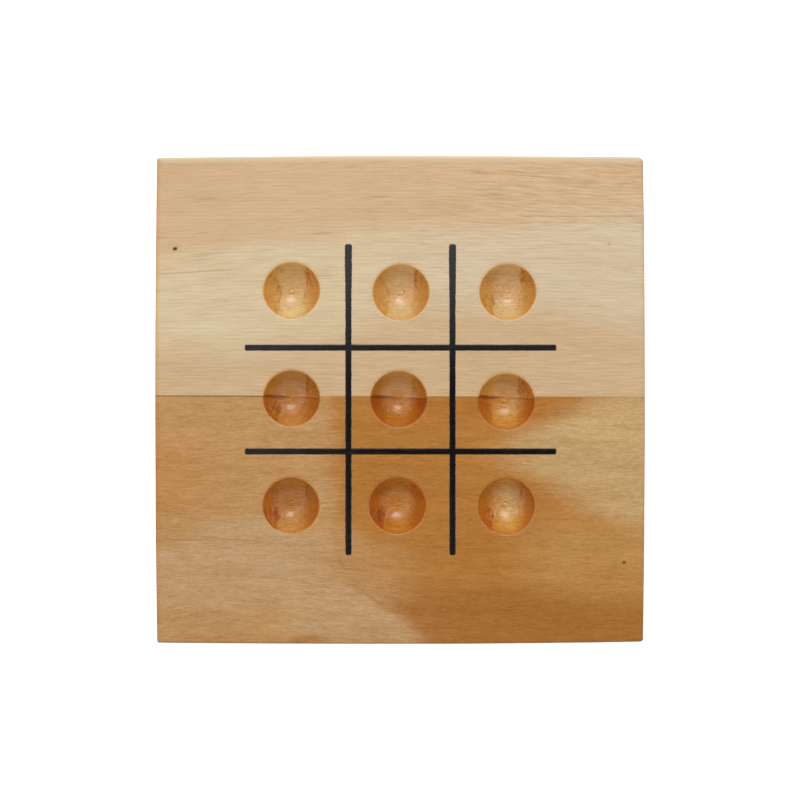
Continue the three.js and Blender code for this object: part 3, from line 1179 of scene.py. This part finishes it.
    # the last hollow of all is half in paler wood: its lower wall and floor are made creamier, partly
    # paler wood and partly a painted highlight; its right side is greyed by painted shade
    last = last_row * g.step(14.0, 22.0, x) * cutface
    col = g.mix(
        last
        * g.step(-0.15, 0.45, nys)
        * g.step(-0.60, -0.10, nxs * -1.0)
        * g.step(T - 2.2, T - 4.8, z),
        col,
        g.mix(1.0, col, (1.08, 1.22, 1.48), "MULTIPLY"),
    )
    col = g.mix(
        last * g.step(0.0, 0.38, nxs * -1.0) * g.step(0.45, 0.0, nys),
        col,
        g.mix(1.0, col, (0.85, 0.80, 0.80), "MULTIPLY"),
    )
    # the wall that faces left, below the middle, is end grain cut the wrong way
    wrong = g.step(0.15, 0.75, nxs * -1.0) * g.step(-0.4, 0.3, nys) * cutface
    col = g.mix(wrong, col, g.mix(1.0, col, (0.87, 0.76, 0.62), "MULTIPLY"))
    # the middle hollow's end walls are the darkest of all
    middle = g.step(12.0, 7.0, g.math("ABSOLUTE", x)) * near_mid * cutface
    middle = middle * g.step(0.40, 0.85, nx_abs)
    middle = middle * g.step(0.5, 0.0, nys, to=(0.35, 1.0))
    col = g.mix(middle, col, g.mix(1.0, col, (0.84, 0.76, 0.70), "MULTIPLY"))
    # the right-hand one is lighter on its left wall than on its right
    beside = g.step(14.0, 22.0, x) * near_mid * cutface
    col = g.mix(
        beside * g.step(0.05, 0.45, nxs), col, g.mix(1.0, col, (1.09, 1.17, 1.12), "MULTIPLY")
    )
    col = g.mix(
        beside * g.step(0.05, 0.45, nxs * -1.0) * g.step(0.5, 0.1, nys),
        col,
        g.mix(1.0, col, (0.93, 0.94, 0.95), "MULTIPLY"),
    )
    # painted highlight: creamier on the lower left of the wall, where the lamp's gloss falls
    col = g.mix(
        beside * g.step(-0.15, 0.35, nxs) * g.step(0.0, 0.45, nys),
        col,
        g.mix(1.0, col, (1.05, 1.12, 1.22), "MULTIPLY"),
    )
    # painted light: lifts the shaded upper wall of the bottom middle hollow
    lowest = last_row * g.step(12.0, 7.0, g.math("ABSOLUTE", x)) * cutface
    col = g.mix(
        lowest * g.step(0.35, -0.1, nys), col, g.mix(1.0, col, (1.06, 1.09, 1.04), "MULTIPLY")
    )
    # both planks are stained deeper beside the bond
    col = g.mix(
        cutface * near_mid,
        col,
        g.mix(1.0, col, (0.93, 0.83, 0.68), "MULTIPLY"),
    )
    mottle = g.noise(g.vec(x * 0.75, y * 0.75, z * 0.75), 3, 0.6) - 0.5
    grit = g.noise(g.vec(x * 2.4, y * 2.0, z * 2.4), 2, 0.6) - 0.5
    shade = (mottle * 0.30 + grit * 0.14 * (end_in + 0.15) + s_fine * 0.25 + s_hair * 0.12) * cutface
    col = g.mix(
        1.0,
        col,
        g.vec(shade + 1.0, shade * 1.3 + 1.0, shade * 1.5 + 1.0),
        "MULTIPLY",
    )
    # torn fibres: deeper orange, with red-brown chips in them
    col = g.mix(tear * 0.9, col, g.mix(1.0, col, (0.98, 0.86, 0.63), "MULTIPLY"))
    ragged = g.noise(g.vec(x * 1.6, y * 1.3, z * 1.6), 3, 0.65)
    torn = g.math(
        "MULTIPLY", chip, g.step(0.30, 0.55, ragged, to=(0.45, 1.0)), clamp=True
    )
    col = g.mix(torn * 0.95, col, g.mix(1.0, col, (0.74, 0.46, 0.01), "MULTIPLY"))

    # --- the bond: dark where the joint starved at the left, and in the hollows' left halves
    left_dark = g.step(fx(318), fx(250), x) * (1.0 - bowl)
    in_left = g.step(0.15, -0.45, across, to=(0.0, 1.0)) * bowl * near_mid
    in_far = g.step(-0.02, -0.62, across, to=(0.0, 1.0)) * bowl * near_mid
    in_right = g.step(-0.05, 0.55, across, to=(0.0, 1.0)) * bowl * near_mid
    width = left_dark * 0.16 + in_left * 0.18 + in_far * 0.60 + in_right * 0.20 + 0.12
    d_seam = g.math("ABSOLUTE", off + left_dark * 0.20 + in_far * 0.42)
    mark = g.step(1.0, 0.10, d_seam / width)
    strength = left_dark * 0.38 + in_left * 0.70 + in_right * 0.60 + 0.12
    col = g.mix(g.math("MULTIPLY", mark, strength, clamp=True), col, lin(112, 54, 2))
    if glue:
        inside = g.step(0.95, 0.4, g.math("ABSOLUTE", nzs)) * (1.0 - bowl)
        flat = (1.0 - bowl) * (left_dark * 0.60 + 0.18)
        col = g.mix(g.math("MAXIMUM", flat, inside * 0.55), col, lin(100, 64, 22))

    g.put(g.bsdf.inputs["Base Color"], col)
    rough = (
        s_fine * 0.10
        + g.noise(g.vec(x * 0.05, y * 0.05, z * 0.05), 2) * 0.05
        + torn * 0.22
        + tear * 0.08
        + endg * 0.04
        - cutface * 0.05
        + g.step(0.0, 0.25, bowl) * g.step(1.0, 0.75, bowl) * 0.20
        + g.step(0.2, 0.8, g.math("ABSOLUTE", nxs) + g.math("ABSOLUTE", nys))
        * (1.0 - bowl)
        * 0.25
        + 0.31
    )
    g.put(g.bsdf.inputs["Roughness"], rough)
    g.bsdf.inputs["IOR"].default_value = 1.5
    height = s_hair * 0.5 + s_fine * 0.9 - dashes * 0.8 - ring_t * 2.0
    b1 = g.bump(height, 0.000022)
    rough_h = grit * (torn * 0.9 + end_in * bowl * 0.16 + bowl * 0.03) + s_hair * (
        bowl * 0.12
    )
    b2 = g.bump(rough_h, 0.00022, normal=b1)
    g.put(g.bsdf.inputs["Normal"], b2)
    return g.mat


def ink_material():
    g = Graph("black_ink")
    x, y, z = g.coords()
    hair = g.noise(g.vec(x * 0.16, y * 1.5, z), 3, 0.65) - 0.5
    fine = g.noise(g.vec(x * 0.06, y * 1.2, z), 2, 0.5) - 0.5
    worn = g.step(0.06, 0.24, hair)
    speck = g.step(0.20, 0.06, g.voronoi(g.vec(x * 0.9, y * 2.2, z))[0])
    black = lin(14, 13, 15)
    # greyer up the board, to the left and at the ends: painted sheen, the lamps' glossy reflection on the
    # ink put into its colour
    painted_sheen = (
        g.step(0.0, 50.0, y) * 0.95
        + g.step(-4.0, -52.0, x) * g.step(60.0, -10.0, y, to=(0.25, 0.42))
        + g.step(-18.0, -50.0, y) * 0.14
    )
    col = g.mix(g.math("MULTIPLY", painted_sheen, 1.0, clamp=True), black, lin(54, 54, 57))
    col = g.mix(worn * 0.38, col, lin(62, 58, 52))
    col = g.mix(speck * 0.16, col, lin(84, 66, 48))
    g.put(g.bsdf.inputs["Base Color"], col)
    g.put(g.bsdf.inputs["Roughness"], hair * 0.20 + 0.26)
    g.bsdf.inputs["IOR"].default_value = 1.36
    g.put(g.bsdf.inputs["Normal"], g.bump(hair * 0.8 + fine * 0.8, 0.000045))
    return g.mat


# ------------------------------------------------------------------ make the pieces
board = soup_to_bmesh(build_board())
bmesh.ops.recalc_face_normals(board, faces=board.faces[:])


def plank(name, low, high, mat):
    part = board.copy()
    cut(part, low, high)
    ob = mesh_object(name, part)
    ob.data.materials.append(mat)
    return ob


upper = plank(
    "pale_plank", SEAM_Y0 + GLUE_W / 2, None, wood_graph("pale_pine_lacquered")
)
lower = plank(
    "amber_plank", None, SEAM_Y0 - GLUE_W / 2, wood_graph("amber_pine_lacquered")
)
bond = plank(
    "glue_bond",
    SEAM_Y0 - GLUE_W / 2,
    SEAM_Y0 + GLUE_W / 2,
    wood_graph("dried_wood_glue", glue=True),
)
board.free()

ink = mesh_object("grid_print", build_ink())
ink.data.materials.append(ink_material())

for ob, node, slot in (
    (upper, "upper_plank", "pale_pine"),
    (lower, "lower_plank", "amber_pine"),
    (bond, "glue_line", "dried_glue"),
    (ink, "printed_grid", "black_ink"),
):
    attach(ob, "root")
    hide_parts(node)

# ------------------------------------------------------------------ floor, light and camera
bpy.ops.mesh.primitive_plane_add(size=6.0, location=(0, 0, -0.0002))
floor = bpy.context.object
floor.name = "floor"
fm = bpy.data.materials.new("floor_white")
fm.use_nodes = True
fb = fm.node_tree.nodes["Principled BSDF"]
fb.inputs["Base Color"].default_value = (0.8, 0.8, 0.8, 1)
fb.inputs["Roughness"].default_value = 0.9
fb.inputs["Specular IOR Level"].default_value = 0.1
fb.inputs["Emission Color"].default_value = (1, 1, 1, 1)
fb.inputs["Emission Strength"].default_value = 0.7
floor.data.materials.append(fm)


def panel(name, azimuth, polar, dist, size, power, aim=(0, 0, 0.019)):
    """A soft box: azimuth anticlockwise from +X, polar angle from straight up, in degrees."""
    a, p = math.radians(azimuth), math.radians(polar)
    d = Vector((math.cos(a) * math.sin(p), math.sin(a) * math.sin(p), math.cos(p)))
    light = bpy.data.lights.new(name, "AREA")
    light.shape = "RECTANGLE"
    light.size, light.size_y = size
    light.energy = power
    ob = bpy.data.objects.new(name, light)
    ob.location = Vector(aim) + d * dist
    ob.rotation_euler = (-d).to_track_quat("-Z", "Y").to_euler()
    bpy.context.scene.collection.objects.link(ob)
    return ob


panel("key", 84, 37, 1.3, (0.58, 0.5), 7.9)
panel("left", 165, 34, 1.4, (0.6, 0.9), 1.6)

# the studio: white all round, dark straight overhead where the camera stands
world = bpy.data.worlds.new("studio")
bpy.context.scene.world = world
world.use_nodes = True
wt = world.node_tree
wc = wt.nodes.new("ShaderNodeTexCoord")
wd = wt.nodes.new("ShaderNodeVectorMath")
wd.operation = "DOT_PRODUCT"
wd.inputs[1].default_value = Vector((0.07, -0.10, 1.0)).normalized()
wt.links.new(wc.outputs["Generated"], wd.inputs[0])
wr = wt.nodes.new("ShaderNodeMapRange")
wr.interpolation_type = "SMOOTHSTEP"
wr.inputs["From Min"].default_value = math.cos(math.radians(13))
wr.inputs["From Max"].default_value = math.cos(math.radians(44))
wr.inputs["To Min"].default_value = 0.02
wr.inputs["To Max"].default_value = 0.98
wt.links.new(wd.outputs["Value"], wr.inputs["Value"])
wt.links.new(wr.outputs["Result"], wt.nodes["Background"].inputs[1])
wm = wt.nodes.new("ShaderNodeMapRange")
wm.interpolation_type = "SMOOTHSTEP"
wm.inputs["From Min"].default_value = math.cos(math.radians(60))
wm.inputs["From Max"].default_value = math.cos(math.radians(86))
wt.links.new(wd.outputs["Value"], wm.inputs["Value"])
wx = wt.nodes.new("ShaderNodeMix")
wx.data_type = "RGBA"
wx.inputs[6].default_value = (1.0, 1.0, 1.0, 1)
wx.inputs[7].default_value = (0.90, 0.66, 0.40, 1)
wt.links.new(wm.outputs["Result"], wx.inputs[0])
wt.links.new(wx.outputs[2], wt.nodes["Background"].inputs[0])

DIST = 0.72
cam_data = bpy.data.cameras.new("camera")
cam_data.sensor_width = 36.0
cam_data.lens = 36.0 * DIST / (800 * 0.000311)
cam = bpy.data.objects.new("camera", cam_data)
cam.location = (-0.05 * 0.000311, -0.15 * 0.000311, 0.019 + DIST)
cam.rotation_euler = (0, 0, 0)
cam_data.clip_start, cam_data.clip_end = 0.01, 10.0
bpy.context.scene.collection.objects.link(cam)
bpy.context.scene.camera = cam
bpy.context.scene.view_settings.view_transform = "Standard"
bpy.context.scene.view_settings.look = "None"
